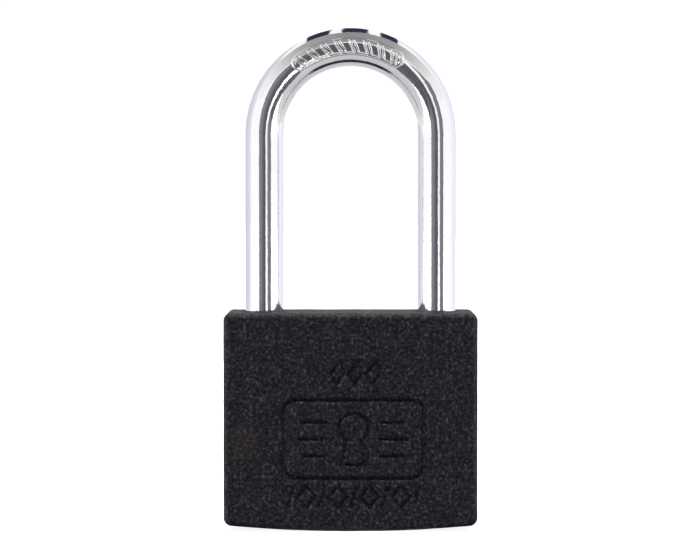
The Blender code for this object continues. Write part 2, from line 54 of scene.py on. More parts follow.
BODY_LOW, BODY_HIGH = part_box("lock_body")
SHACKLE_LOW, SHACKLE_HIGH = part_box("shackle")
SHELL_LOW, SHELL_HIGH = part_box("cylinder_shell")
CAM_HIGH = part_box("locking_cam")[1]
BOLT_LOW, BOLT_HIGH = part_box("locking_bolt_toe")
HEEL_PIN_LOW, HEEL_PIN_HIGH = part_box("heel_retaining_pin")
CYLINDER_PIN_LOW, CYLINDER_PIN_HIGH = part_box("cylinder_retaining_pin")
SIDE_PLUG_LOW, SIDE_PLUG_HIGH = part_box("side_plug")
SPRING_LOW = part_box("shackle_spring")[0]
TRAVEL = {joint["name"]: joint.get("range_m", [0.0, 0.0])[1] for joint in frame["joints"]}

WIRE_RADIUS = (SHACKLE_HIGH.y - SHACKLE_LOW.y) / 2
LEG_X = SHACKLE_HIGH.x - WIRE_RADIUS
ARCH_Z = SHACKLE_HIGH.z - WIRE_RADIUS - LEG_X
FRONT_Y = BODY_LOW.y
BODY_TOP = BODY_HIGH.z

# ---- Sizes that the frame's boxes don't give, as in the CAD --------------------------------

BODY_RISE = 1.2 * MM                # of the underside's arc at the body's sides
BODY_EDGE = 1.00 * MM               # rounding of the edges round the front and back faces
BODY_CORNER = 1.45 * MM             # rounding of the faces' corners
TOE_END_Z = 33.0 * MM
NECK_RADIUS = 2.4 * MM
NECK_BOTTOM = 15.5 * MM
NECK_TOP = 29.8 * MM
LEG_CHAMFER = 0.6 * MM
BORE_GAP = 0.25 * MM
SLIDE_GAP = 0.15 * MM
BIBLE_HALF_WIDTH = 3.0 * MM
SHELL_RADIUS = -SHELL_LOW.x
PAST = 1.0 * MM                     # how far a cutter runs past the face it opens


# ---- Mesh helpers -------------------------------------------------------------------------

def new_object(name, mesh):
    """An object in the scene that shows the mesh."""
    obj = bpy.data.objects.new(name, mesh)
    bpy.context.scene.collection.objects.link(obj)
    return obj


def mesh_object(name, points, faces):
    """A closed mesh with its faces turned outwards."""
    mesh = bpy.data.meshes.new(name)
    mesh.from_pydata([tuple(point) for point in points], [], [tuple(face) for face in faces])
    work = bmesh.new()
    work.from_mesh(mesh)
    bmesh.ops.recalc_face_normals(work, faces=work.faces)
    work.to_mesh(mesh)
    work.free()
    return new_object(name, mesh)


def ring_faces(rings, steps):
    """Faces between rings of point numbers. A ring that is one point over and over is a tip."""
    faces = []
    for upper, lower in zip(rings, rings[1:]):
        for index in range(steps):
            after = (index + 1) % steps
            corners = [upper[index], upper[after], lower[after], lower[index]]
            faces.append(list(dict.fromkeys(corners)))
    return faces


def turned(name, profile, steps, start, direction):
    """A shape turned about the line from start along direction. The profile is (radius, distance)."""
    points = []
    rings = []
    for radius, distance in profile:
        if radius == 0.0:
            rings.append([len(points)] * steps)
            points.append((0.0, 0.0, distance))
            continue
        rings.append([len(points) + index for index in range(steps)])
        for index in range(steps):
            angle = math.tau * index / steps
            points.append((radius * math.cos(angle), radius * math.sin(angle), distance))
    obj = mesh_object(name, points, ring_faces(rings, steps))
    turn = Vector(direction).to_track_quat("Z", "X").to_matrix().to_4x4()
    obj.data.transform(Matrix.Translation(start) @ turn)
    return obj


def rod(name, radius, start, end, steps=64):
    """A plain round bar between two points."""
    span = Vector(end) - Vector(start)
    profile = [(0.0, 0.0), (radius, 0.0), (radius, span.length), (0.0, span.length)]
    return turned(name, profile, steps, start, span)


def prism(name, outline, bottom, top):
    """An outline in X and Y raised between two heights."""
    count = len(outline)
    points = [(x, y, bottom) for x, y in outline] + [(x, y, top) for x, y in outline]
    faces = [range(count), range(count, 2 * count)]
    for index in range(count):
        after = (index + 1) % count
        faces.append([index, after, after + count, index + count])
    return mesh_object(name, points, faces)


def capsule_hull(name, radius, centres):
    """The space swept by a ball that moves in a straight line between two centres."""
    mesh = bpy.data.meshes.new(name)
    work = bmesh.new()
    for centre in centres:
        bmesh.ops.create_uvsphere(
            work, u_segments=48, v_segments=32, radius=radius, matrix=Matrix.Translation(centre)
        )
    bmesh.ops.delete(work, geom=work.edges, context="EDGES_FACES")
    bmesh.ops.convex_hull(work, input=work.verts)
    bmesh.ops.delete(
        work, geom=[vert for vert in work.verts if not vert.link_faces], context="VERTS"
    )
    bmesh.ops.recalc_face_normals(work, faces=work.faces)
    work.to_mesh(mesh)
    work.free()
    return new_object(name, mesh)


def carve(obj, *cutters):
    """Cut closed shapes out of a piece, and remove them."""
    for cutter in cutters:
        modifier = obj.modifiers.new(cutter.name, "BOOLEAN")
        modifier.operation = "DIFFERENCE"
        modifier.solver = "MANIFOLD"
        modifier.object = cutter
    apply_modifiers(obj)
    for cutter in cutters:
        bpy.data.objects.remove(cutter, do_unlink=True)


def apply_modifiers(obj):
    """Replace the mesh with what its modifiers make of it."""
    graph = bpy.context.evaluated_depsgraph_get()
    mesh = bpy.data.meshes.new_from_object(obj.evaluated_get(graph))
    obj.modifiers.clear()
    obj.data = mesh


def smooth(obj, angle=35.0):
    """Shade smoothly, and keep the edges sharper than the angle."""
    obj.data.shade_smooth()
    obj.data.set_sharp_from_angle(angle=math.radians(angle))


def arc(centre, radius, start, end, steps):
    """Points on an arc, both ends included. Angles are in degrees."""
    angles = np.radians(np.linspace(start, end, steps + 1))
    return [(centre[0] + radius * math.cos(a), centre[1] + radius * math.sin(a)) for a in angles]


def ease(value):
    """0 below 0, 1 above 1 and a smooth rise between."""
    part = np.clip(value, 0.0, 1.0)
    return part * part * (3.0 - 2.0 * part)


def distance_to_line(x, z, line):
    """How far each point is from a polyline."""
    nearest = np.full(len(x), np.inf)
    for (x0, z0), (x1, z1) in zip(line, line[1:]):
        span = max((x1 - x0) ** 2 + (z1 - z0) ** 2, 1e-18)
        along = np.clip(((x - x0) * (x1 - x0) + (z - z0) * (z1 - z0)) / span, 0.0, 1.0)
        gap = np.hypot(x - x0 - along * (x1 - x0), z - z0 - along * (z1 - z0))
        nearest = np.minimum(nearest, gap)
    return nearest


def waves(points, size, seed):
    """Smooth random heights, about -1 to 1, with bumps of the size given."""
    offset = Vector((seed * 17.3, seed * 5.1, seed * 9.7))
    return np.array([noise.noise(Vector(point) / size + offset) for point in points])


# ---- Body ---------------------------------------------------------------------------------

GRAIN_STEP = 0.22 * MM              # grid spacing where the front face is embossed
PLAIN_STEP = 0.55 * MM              # and elsewhere
EDGE_LINES = 5                      # grid lines across half of each rounded edge
CORNER_LINES = 3                    # grid lines across the rest of each rounded corner
EMBLEM_LOW = (-14.6 * MM, 3.6 * MM)  # (x, height) where the fine grid starts and ends
EMBLEM_HIGH = (15.6 * MM, 34.6 * MM)
MIDDLE_HALF = 1.0 * MM              # the same through the body's thickness
FLAT_FACE = -0.999                  # outward y below which a point is on the flat front face
RIPPLES = [(0.030, 3.2), (0.022, 1.5)]  # (height, size) of the coating's bumps, in millimetres
RIPPLE_INSET = 0.03 * MM            # keeps the bumps inside the CAD body

# The emblem's layout on the front face, in millimetres. A groove is (width, depth).

EMBLEM_X = 0.6
FRAME_Z = 18.2
FRAME_WIDTH = 27.6
FRAME_HEIGHT = 15.4
FRAME_ROUNDING = 2.4
FRAME_GROOVE = (1.05, 0.60)
KEYHOLE_Z = 20.4
KEYHOLE_RADIUS = 2.9
KEYHOLE_FOOT_WIDTH = 4.4
KEYHOLE_FOOT_Z = 13.2
KEYHOLE_GROOVE = (0.95, 0.56)
BAR_HEIGHTS = (14.9, 18.2, 21.5)    # three bars on each side of the keyhole
BAR_START = 5.4
BAR_END = 10.6
BAR_TAPER = 0.25
UPPER_MARKS = (-3.5, 0.0, 3.5)      # three leaning lozenges above the frame
UPPER_X = 1.0
UPPER_Z = 31.0
UPPER_LOZENGE = (1.3, 2.5, 0.55)    # half width, half height, slant
ROW_COUNT = 9                       # bars and lozenges in turn below the frame
ROW_START = 12.4
ROW_PITCH = 3.1
ROW_Z = 6.7
ROW_LOZENGE = (1.7, 2.2, 0.0)
ROW_BAR_LOW = 4.8
ROW_BAR_HIGH = 8.6
ROW_BAR_SLANT = 0.5
MARK_GROOVE = (0.95, 0.54)
GROOVE_FLAT = 1.15                  # how far a groove's flat bottom runs out into its slopes


def grid_lines(low, high, fine_low, fine_high, corner):
    """Positions along one side: even over a rounded edge's arc, fine in the middle stretch."""
    arc_rise = [math.tan(math.radians(45.0 * k / EDGE_LINES)) for k in range(EDGE_LINES + 1)]
    edge = [corner - BODY_EDGE + BODY_EDGE * rise for rise in arc_rise]
    if corner > BODY_EDGE:
        edge = list(np.linspace(0.0, edge[0], CORNER_LINES + 1)[:-1]) + edge
    inner_low = low + corner
    inner_high = high - corner
    stops = [inner_low, fine_low, fine_high, inner_high]
    steps = [PLAIN_STEP, GRAIN_STEP, PLAIN_STEP]
    lines = [inner_low - rise for rise in reversed(edge)]
    for start, end, step in zip(stops, stops[1:], steps):
        count = max(1, round((end - start) / step))
        lines += list(np.linspace(start, end, count + 1)[1:])
    return np.array(lines + [inner_high + rise for rise in edge[1:]])


def block(lines):
    """The surface of a box divided along grid lines: its points and its faces."""
    counts = [len(line) for line in lines]
    quads = []
    for axis in range(3):
        across = (axis + 1) % 3
        along = (axis + 2) % 3
        i, j = np.meshgrid(
            np.arange(counts[across] - 1), np.arange(counts[along] - 1), indexing="ij"
        )
        for end in (0, counts[axis] - 1):
            corners = np.zeros((i.size, 4, 3), int)
            corners[:, :, axis] = end
            for corner, (di, dj) in enumerate([(0, 0), (1, 0), (1, 1), (0, 1)]):
                corners[:, corner, across] = (i + di).ravel()
                corners[:, corner, along] = (j + dj).ravel()
            quads.append(corners)
    quads = np.concatenate(quads)
    keys = np.ravel_multi_index(tuple(quads.reshape(-1, 3).T), counts)
    used, index = np.unique(keys, return_inverse=True)
    places = np.unravel_index(used, counts)
    points = np.stack([line[place] for line, place in zip(lines, places)], axis=1)
    return points, index.reshape(-1, 4)


def round_edges(points, low, high):
    """Pull a box's surface onto one with round corners and edges.

    The faces' corners are rounded first, in X and Z, and then the edges towards Y. Returns the
    points and the outward directions.
    """
    flat = points[:, [0, 2]]
    inner = np.clip(flat, np.array(low)[[0, 2]] + BODY_CORNER, np.array(high)[[0, 2]] - BODY_CORNER)
    offset = flat - inner
    reach = np.abs(offset).max(axis=1)
    length = np.maximum(np.linalg.norm(offset, axis=1), 1e-12)
    radial = offset / length[:, None]
    half_y = (high[1] - low[1]) / 2
    side = np.sign(points[:, 1])
    rise = np.maximum(np.abs(points[:, 1]) - (half_y - BODY_EDGE), 0.0)
    core = BODY_CORNER - BODY_EDGE
    turn = np.arctan2(np.maximum(reach - core, 0.0), rise)
    on_edge = (reach > core) & (rise > 0.0)
    turn = np.where(on_edge, turn, np.where(rise > 0.0, 0.0, math.pi / 2))
    out = np.where(reach > core, core + BODY_EDGE * np.sin(turn), reach)
    across = inner + radial * out[:, None]
    depth = np.where(rise > 0.0, half_y - BODY_EDGE + BODY_EDGE * np.cos(turn), np.abs(points[:, 1]))
    rounded = np.stack([across[:, 0], side * depth, across[:, 1]], axis=1)
    outward = np.stack(
        [radial[:, 0] * np.sin(turn), side * np.cos(turn), radial[:, 1] * np.sin(turn)], axis=1
    )
    return rounded, outward


def rounded_rectangle(centre, width, height, radius):
    """A closed line round a rectangle with rounded corners."""
    line = []
    for side_x, side_z, start in ((1, -1, -90.0), (1, 1, 0.0), (-1, 1, 90.0), (-1, -1, 180.0)):
        corner = (
            centre[0] + side_x * (width / 2 - radius),
            centre[1] + side_z * (height / 2 - radius),
        )
        line += arc(corner, radius, start, start + 90.0, 5)
    return line + line[:1]


def lozenge(centre, half_width, half_height, slant):
    """A closed line round a lozenge whose top leans by the slant."""
    x, z = centre
    return [
        (x + slant, z + half_height),
        (x + half_width, z),
        (x - slant, z - half_height),
        (x - half_width, z),
        (x + slant, z + half_height),
    ]


def keyhole(centre, radius, foot_width, foot_z):
    """A round eye over a flared foot, as one closed line."""
    line = arc(centre, radius, -60.0, 240.0, 20)
    line += [(centre[0] - foot_width / 2, foot_z), (centre[0] + foot_width / 2, foot_z)]
    return line + line[:1]


def emblem_lines():
    """The generic emblem's grooves: (line, (width, depth)), all in millimetres."""
    border = rounded_rectangle((EMBLEM_X, FRAME_Z), FRAME_WIDTH, FRAME_HEIGHT, FRAME_ROUNDING)
    eye = (EMBLEM_X, KEYHOLE_Z)
    grooves = [(border, FRAME_GROOVE)]
    grooves.append((keyhole(eye, KEYHOLE_RADIUS, KEYHOLE_FOOT_WIDTH, KEYHOLE_FOOT_Z), KEYHOLE_GROOVE))
    for side in (-1, 1):
        for height in BAR_HEIGHTS:
            start = EMBLEM_X + side * BAR_START
            end = EMBLEM_X + side * (BAR_END - abs(height - FRAME_Z) * BAR_TAPER)
            grooves.append(([(start, height), (end, height)], MARK_GROOVE))
    for shift in UPPER_MARKS:
        grooves.append((lozenge((UPPER_X + shift, UPPER_Z), *UPPER_LOZENGE), MARK_GROOVE))
    for index in range(ROW_COUNT):
        x = EMBLEM_X - ROW_START + index * ROW_PITCH
        if index % 2:
            line = lozenge((x, ROW_Z), *ROW_LOZENGE)
        else:
            line = [(x - ROW_BAR_SLANT, ROW_BAR_LOW), (x + ROW_BAR_SLANT, ROW_BAR_HIGH)]
        grooves.append((line, MARK_GROOVE))
    return grooves


def emblem_depth(x, z):
    """How deep the emblem's grooves are at each point of the front face."""
    depth = np.zeros(len(x))
    for line, (width, groove) in emblem_lines():
        gap = distance_to_line(x / MM, z / MM, line)
        depth = np.maximum(depth, groove * MM * ease(GROOVE_FLAT - gap / (width / 2)))
    return depth


def shell_outline(grow):
    """The lock cylinder's outline, its thick side towards +X, grown by a clearance."""
    radius = SHELL_RADIUS + grow
    half = BIBLE_HALF_WIDTH + grow
    end = SHELL_HIGH.x + grow
    corner = 1.0 * MM + grow
    meet = math.degrees(math.asin(half / radius))
    outline = arc((0.0, 0.0), radius, meet, 360.0 - meet, 90)
    outline += arc((end - corner, corner - half), corner, -90.0, 0.0, 8)
    outline += arc((end - corner, half - corner), corner, 0.0, 90.0, 8)
    return outline


def leg_bore(name, x, bottom):
    """A bore for a shackle leg, with a soft countersunk mouth."""
    bore = WIRE_RADIUS + BORE_GAP
    mouth = 0.45 * MM
    profile = [(0.0, bottom), (bore, bottom)]
    for angle in np.radians(np.linspace(0.0, 80.0, 7)):
        width = bore + mouth * (1 - math.cos(angle))
        profile.append((width, BODY_TOP - mouth + mouth * math.sin(angle)))
    profile += [(bore + mouth, BODY_TOP + PAST), (0.0, BODY_TOP + PAST)]
    return turned(name, profile, 96, (x, 0.0, 0.0), (0.0, 0.0, 1.0))


def pin_hole(name, low, high):
    """The hole that a pin from the back face sits in."""
    centre_x = (low.x + high.x) / 2
    centre_z = (low.z + high.z) / 2
    radius = (high.x - low.x) / 2 + SLIDE_GAP
    start = (centre_x, low.y - SLIDE_GAP, centre_z)
    return rod(name, radius, start, (centre_x, BODY_HIGH.y + PAST, centre_z), 48)


def body_cutters():
    """The shapes that the body's bores and pocket are cut with."""
    bolt_radius = (BOLT_HIGH.y - BOLT_LOW.y) / 2
    bolt_z = (BOLT_HIGH.z + BOLT_LOW.z) / 2
    cam_radius = CAM_HIGH.x + 2 * SLIDE_GAP
    return [
        leg_bore("cut_heel_bore", -LEG_X, SPRING_LOW.z - 2 * SLIDE_GAP),
        leg_bore("cut_toe_bore", LEG_X, TOE_END_Z - PAST),
        prism("cut_pocket", shell_outline(BORE_GAP), -PAST, SHELL_HIGH.z + 2 * SLIDE_GAP),
        rod("cut_cam", cam_radius, (0.0, 0.0, SHELL_LOW.z), (0.0, 0.0, CAM_HIGH.z + SLIDE_GAP)),
        rod(
            "cut_cross_bore",
            bolt_radius + SLIDE_GAP,
            (-LEG_X, 0.0, bolt_z),
            (BODY_HIGH.x + PAST, 0.0, bolt_z),
        ),
        pin_hole("cut_heel_pin", HEEL_PIN_LOW, HEEL_PIN_HIGH),
        pin_hole("cut_cylinder_pin", CYLINDER_PIN_LOW, CYLINDER_PIN_HIGH),
    ]


def make_body():
    """The coated block: rounded, rippled, embossed on the front and bored."""
    half_x = BODY_HIGH.x
    lines = [
        grid_lines(-half_x, half_x, EMBLEM_LOW[0], EMBLEM_HIGH[0], BODY_CORNER),
        grid_lines(BODY_LOW.y, BODY_HIGH.y, -MIDDLE_HALF, MIDDLE_HALF, BODY_EDGE),
        grid_lines(0.0, BODY_TOP, EMBLEM_LOW[1], EMBLEM_HIGH[1], BODY_CORNER),
    ]
    points, faces = block(lines)
    points, outward = round_edges(points, (-half_x, BODY_LOW.y, 0.0), (half_x, BODY_HIGH.y, BODY_TOP))
    points[:, 2] += BODY_RISE * (points[:, 0] / half_x) ** 2 * (1.0 - points[:, 2] / BODY_TOP)
    ripple = sum(
        height * waves(points, size * MM, seed)
        for seed, (height, size) in enumerate(RIPPLES, start=1)
    )
    points += outward * (ripple * MM - RIPPLE_INSET)[:, None]
    front = outward[:, 1] < FLAT_FACE
    points[front, 1] += emblem_depth(points[front, 0], points[front, 2])
    body = mesh_object("padlock_body", points, faces)
    carve(body, *body_cutters())
    smooth(body, 50.0)
    return body


# ---- Shackle ------------------------------------------------------------------------------

PANEL_HALF_LENGTH = 11.7 * MM       # the embossed panel on the front of the arch
PANEL_HALF_WIDTH = 1.75 * MM
PANEL_SHIFT = -0.6 * MM             # along the arch from its top
PANEL_STEP = 0.11 * MM              # mesh spacing across the panel
RIM_WIDTH = 0.38 * MM
RIM_HEIGHT = 0.26 * MM
PANEL_FLOOR = 0.14 * MM
RIDGE_PITCH = 2.75 * MM
RIDGE_WIDTH = 1.15 * MM
RIDGE_HEIGHT = 0.46 * MM
RIDGE_SLANT = 0.55
RIM_FLAT = 1.4                      # how far flat tops run out into their slopes
RIDGE_FLAT = 2.2
FLOOR_START = 1.3                   # from the panel's outline, in rim widths
FLOOR_SLOPE = 0.8
ROUND_ANGLES = 64                   # angles round the wire outside the panel
LEG_ROWS = 24                       # rings along each straight leg
COARSE_STEP = 2 * MM                # along the arch outside the panel
NECK_LIP = 0.3 * MM                 # rounding of the neck's edges


def panel_relief(along, across):
    """The raised rim, sunk floor and slanted ridges of the arch's panel."""
    along = along - PANEL_SHIFT
    straight = PANEL_HALF_LENGTH - PANEL_HALF_WIDTH
    past = np.maximum(np.abs(along) - straight, 0.0)
    edge = np.hypot(past, across) - PANEL_HALF_WIDTH
    rim = RIM_HEIGHT * ease(RIM_FLAT - RIM_FLAT * np.abs(edge + RIM_WIDTH) / RIM_WIDTH)
    inside = ease((-edge - FLOOR_START * RIM_WIDTH) / (FLOOR_SLOPE * RIM_WIDTH))
    phase = (along + RIDGE_SLANT * across) / RIDGE_PITCH
    gap = np.abs(phase - np.round(phase)) * RIDGE_PITCH
    ridges = RIDGE_HEIGHT * ease(RIDGE_FLAT - RIDGE_FLAT * gap / RIDGE_WIDTH)
    return rim + inside * (ridges - PANEL_FLOOR)


def section_angles():
    """Angles round the wire from its outer side, close together across the panel."""
    fine = (PANEL_HALF_WIDTH + 2 * RIM_WIDTH) / WIRE_RADIUS
    front = math.pi / 2
    fine_count = round(2 * fine * WIRE_RADIUS / PANEL_STEP)
    close = np.linspace(front - fine, front + fine, fine_count + 1)
    rest = np.linspace(front + fine, front - fine + math.tau, ROUND_ANGLES)
    return np.concatenate([close, rest[1:-1]])


def stations():
    """(kind, place, radius) down the wire: height on a leg, or angle from the arch's top."""
    low = SHACKLE_LOW.z
    radius = WIRE_RADIUS
    lip = NECK_LIP
    rows = [("heel", low, 0.0), ("heel", low, radius - LEG_CHAMFER), ("heel", low + LEG_CHAMFER, radius)]
    rows += [("heel", NECK_BOTTOM - lip, radius), ("heel", NECK_BOTTOM, radius - lip)]
    rows += [("heel", NECK_BOTTOM, NECK_RADIUS), ("heel", NECK_TOP, NECK_RADIUS)]
    rows += [("heel", NECK_TOP, radius - lip), ("heel", NECK_TOP + lip, radius)]
    heel_heights = np.linspace(NECK_TOP + COARSE_STEP, ARCH_Z, LEG_ROWS)
    rows += [("heel", height, radius) for height in heel_heights[:-1]]
    panel = (PANEL_HALF_LENGTH + 3 * RIM_WIDTH) / LEG_X
    shift = PANEL_SHIFT / LEG_X
    coarse = COARSE_STEP / LEG_X
    count = round((math.pi / 2 + shift - panel) / coarse)
    rows += [("arch", a, radius) for a in np.linspace(-math.pi / 2, shift - panel, count)[:-1]]
    count = round(2 * panel * LEG_X / PANEL_STEP)
    rows += [("arch", a, radius) for a in np.linspace(shift - panel, shift + panel, count)[:-1]]
    count = round((math.pi / 2 - shift - panel) / coarse)
    rows += [("arch", a, radius) for a in np.linspace(shift + panel, math.pi / 2, count)]
    toe_heights = np.linspace(ARCH_Z, TOE_END_Z + COARSE_STEP, LEG_ROWS)
    rows += [("toe", height, radius) for height in toe_heights[1:]]
    rows += [("toe", TOE_END_Z + LEG_CHAMFER, radius), ("toe", TOE_END_Z, radius - LEG_CHAMFER)]
    return rows + [("toe", TOE_END_Z, 0.0)]


def wire_frame(kind, place):
    """The wire's centre at a station, and its outward direction in the shackle's plane."""
    if kind == "heel":
        return Vector((-LEG_X, 0.0, place)), Vector((-1.0, 0.0, 0.0))
    if kind == "toe":
        return Vector((LEG_X, 0.0, place)), Vector((1.0, 0.0, 0.0))
    outward = Vector((math.sin(place), 0.0, math.cos(place)))
    return Vector((0.0, 0.0, ARCH_Z)) + LEG_X * outward, outward


def shackle_points(angles):
    """The shackle's points, and the ring of point numbers at each station."""
    across = WIRE_RADIUS * (math.pi / 2 - angles)
    count = len(angles)
    points = []
    rings = []
    for kind, place, radius in stations():
        centre, outward = wire_frame(kind, place)
        if radius == 0.0:
            rings.append([len(points)] * count)
            points.append(tuple(centre))
            continue
        rings.append([len(points) + index for index in range(count)])
        reach = np.full(count, radius)
        if kind == "arch":
            on_front = np.abs(across) < PANEL_HALF_WIDTH + 2 * RIM_WIDTH
            relief = panel_relief(np.full(count, place * LEG_X), across)
            reach += np.where(on_front, relief, 0.0)
        side = reach * np.cos(angles)
        front = reach * np.sin(angles)
        for out, forward in zip(side, front):
            points.append((centre.x + outward.x * out, -forward, centre.z + outward.z * out))
    return points, rings


def notch_cutters():
    """The ramps that the bolts' noses slide along, one for each leg."""
    bolt_radius = (BOLT_HIGH.y - BOLT_LOW.y) / 2
    nose = BOLT_HIGH.x - bolt_radius
    height = (BOLT_HIGH.z + BOLT_LOW.z) / 2
    notches = []
    for side in (-1, 1):
        seats = [
            Vector((side * nose, 0.0, height)),
            Vector((side * (nose - TRAVEL["toe_bolt_slide"]), 0.0, height - TRAVEL["shackle_lift"])),
        ]
        notches.append(capsule_hull(f"cut_notch_{side}", bolt_radius + 2 * SLIDE_GAP, seats))
    return notches


def make_shackle():
    """The bent wire with its neck, its notches and the panel on its arch."""
    angles = section_angles()
    points, rings = shackle_points(angles)
    shackle = mesh_object("padlock_shackle", points, ring_faces(rings, len(angles)))
    carve(shackle, *notch_cutters())
    smooth(shackle, 40.0)
    return shackle


# ---- Small pieces seen in the body's faces ------------------------------------------------

def make_side_plug():
    """The disc that closes the cross bore, set a little below the body's side."""
    radius = (SIDE_PLUG_HIGH.y - SIDE_PLUG_LOW.y) / 2
    length = SIDE_PLUG_HIGH.x - SIDE_PLUG_LOW.x
    round_over = 0.35 * MM
    chamfer = 0.2 * MM
    flat = 0.35 * radius
    profile = [(0.0, 0.0), (radius - chamfer, 0.0), (radius, chamfer)]
    for angle in np.radians(np.linspace(0.0, 90.0, 6)):
        edge = radius - round_over + round_over * math.cos(angle)
        profile.append((edge, length - round_over + round_over * math.sin(angle)))
    profile += [(flat, length), (0.0, length)]
    start = (SIDE_PLUG_LOW.x, 0.0, (SIDE_PLUG_LOW.z + SIDE_PLUG_HIGH.z) / 2)
    plug = turned("padlock_side_plug", profile, 72, start, (1.0, 0.0, 0.0))
    smooth(plug)
    return plug


def make_pin(name, low, high):
    """A pin pressed in from the back, with a chamfered tip and a peened, domed end."""
    radius = (high.x - low.x) / 2
    length = high.y - low.y
    dome = 0.3 * MM
    chamfer = 0.25 * MM
    profile = [(0.0, 0.0), (radius - chamfer, 0.0), (radius, chamfer), (radius, length - dome)]
    for angle in np.radians(np.linspace(15.0, 75.0, 5)):
        profile.append((radius * math.cos(angle), length - dome + dome * math.sin(angle)))
    profile.append((0.0, length))
    start = ((low.x + high.x) / 2, low.y, (low.z + high.z) / 2)
    pin = turned(name, profile, 60, start, (0.0, 1.0, 0.0))
    smooth(pin)
    return pin


# ---- Materials ----------------------------------------------------------------------------

# Colours are linear. A place on the body is where it is when the lock is closed.

# The coating's speckle, dark to light. Its lightest flecks are painted glints, the light that the wrinkles would
# catch.
COATING_AND_GLINT_TONES = [
    (0.34, (0.0028, 0.0030, 0.0042)),
    (0.48, (0.0092, 0.0096, 0.0126)),
    (0.57, (0.0190, 0.0200, 0.0250)),
    (0.70, (0.0620, 0.0640, 0.0740)),
]
SPECK_PLACE = (-17.2 * MM, FRONT_Y, 26.2 * MM)
SPECK_RADIUS = 0.9 * MM
RUST = (0.110, 0.046, 0.018)
TINT_PLACE = (-21.3 * MM, FRONT_Y, 17.4 * MM)
TINT_RADIUS = 4.6 * MM
BROWN = (0.036, 0.023, 0.009)
WEAR_REACH = 1.1 * MM               # how far in from the body's edges the coating is rubbed
WORN_GREY = (0.050, 0.047, 0.047)
CHROME_TONES = [(0.3, (0.83, 0.83, 0.845)), (0.7, (0.885, 0.885, 0.89))]


def new_material(name, **sockets):
    """A node material. Values that are the same all over go straight onto the shader."""
    material = bpy.data.materials.new(name)
    material.use_nodes = True
    tree = material.node_tree
    shader = tree.nodes["Principled BSDF"]
    for socket, value in sockets.items():
        shader.inputs[socket.replace("_", " ")].default_value = value
    return material, tree, shader


def place(tree, squash=(1.0, 1.0, 1.0)):
    """The point on the piece, in metres, scaled by squash."""
    coordinates = tree.nodes.new("ShaderNodeTexCoord")
    mapping = tree.nodes.new("ShaderNodeMapping")
    mapping.inputs["Scale"].default_value = squash
    tree.links.new(coordinates.outputs["Object"], mapping.inputs["Vector"])
    return mapping.outputs["Vector"]


def grain(tree, where, size, detail=2.0, roughness=0.5):
    """Soft noise, 0 to 1, with blotches of the size given in metres."""
    node = tree.nodes.new("ShaderNodeTexNoise")
    node.inputs["Scale"].default_value = 1.0 / size
    node.inputs["Detail"].default_value = detail
    node.inputs["Roughness"].default_value = roughness
    tree.links.new(where, node.inputs["Vector"])
    return node.outputs["Fac"]


def remap(tree, value, low, high, start, end):
    """Turns the range low to high into start to end, and holds it there."""
    node = tree.nodes.new("ShaderNodeMapRange")
    for socket, number in (("From Min", low), ("From Max", high), ("To Min", start), ("To Max", end)):
        node.inputs[socket].default_value = number
    tree.links.new(value, node.inputs["Value"])
    return node.outputs["Result"]


def combine(tree, operation, first, second):
    """One sum on two values, each a number or another node's output."""
    node = tree.nodes.new("ShaderNodeMath")
    node.operation = operation
    for socket, value in zip(node.inputs, (first, second)):
        if isinstance(value, (int, float)):
            socket.default_value = value
        else:
            tree.links.new(value, socket)
    return node.outputs["Value"]


def multiply(tree, first, second):
    return combine(tree, "MULTIPLY", first, second)


def colours(tree, value, stops):
    """A colour that follows a value through (position, colour) stops."""
    node = tree.nodes.new("ShaderNodeValToRGB")
    ramp = node.color_ramp
    while len(ramp.elements) < len(stops):
        ramp.elements.new(0.5)
    for element, (position, colour) in zip(ramp.elements, stops):
        element.position = position
        element.color = (*colour, 1.0)
    tree.links.new(value, node.inputs["Fac"])
    return node.outputs["Color"]


def mix(tree, factor, first, second):
    """The first colour where the factor is 0 and the second where it is 1."""
    node = tree.nodes.new("ShaderNodeMix")
    node.data_type = "RGBA"
    factor_input, first_input, second_input = (node.inputs[index] for index in (0, 6, 7))
    for socket, value in ((factor_input, factor), (first_input, first), (second_input, second)):
        if isinstance(value, tuple):
            socket.default_value = (*value, 1.0)
        else:
            tree.links.new(value, socket)
    return node.outputs[2]


def bump(tree, shader, height, distance, strength=1.0):
    """Relief too fine for the mesh."""
    node = tree.nodes.new("ShaderNodeBump")
    node.inputs["Distance"].default_value = distance
    node.inputs["Strength"].default_value = strength
    tree.links.new(height, node.inputs["Height"])
    tree.links.new(node.outputs["Normal"], shader.inputs["Normal"])


def spot(tree, where, centre, radius):
    """1 close to a place on the piece, falling to 0 at the radius."""
    distance = tree.nodes.new("ShaderNodeVectorMath")
    distance.operation = "DISTANCE"
    distance.inputs[1].default_value = centre
    tree.links.new(where, distance.inputs[0])
    return remap(tree, distance.outputs["Value"], 0.35 * radius, radius, 1.0, 0.0)


def edge_nearness(tree, where):
    """1 along the body's edges, falling to 0 a little way in."""
    split = tree.nodes.new("ShaderNodeSeparateXYZ")
    tree.links.new(where, split.inputs["Vector"])
    near = []
    for axis in range(3):
        middle = (BODY_LOW[axis] + BODY_HIGH[axis]) / 2
        half = (BODY_HIGH[axis] - BODY_LOW[axis]) / 2
        away = combine(tree, "SUBTRACT", split.outputs[axis], middle)
        away = combine(tree, "ABSOLUTE", away, 0.0)
        near.append(remap(tree, away, half - WEAR_REACH, half - 0.2 * WEAR_REACH, 0.0, 1.0))
    pairs = [multiply(tree, near[axis], near[axis - 1]) for axis in range(3)]
    return combine(tree, "MAXIMUM", combine(tree, "MAXIMUM", pairs[0], pairs[1]), pairs[2])


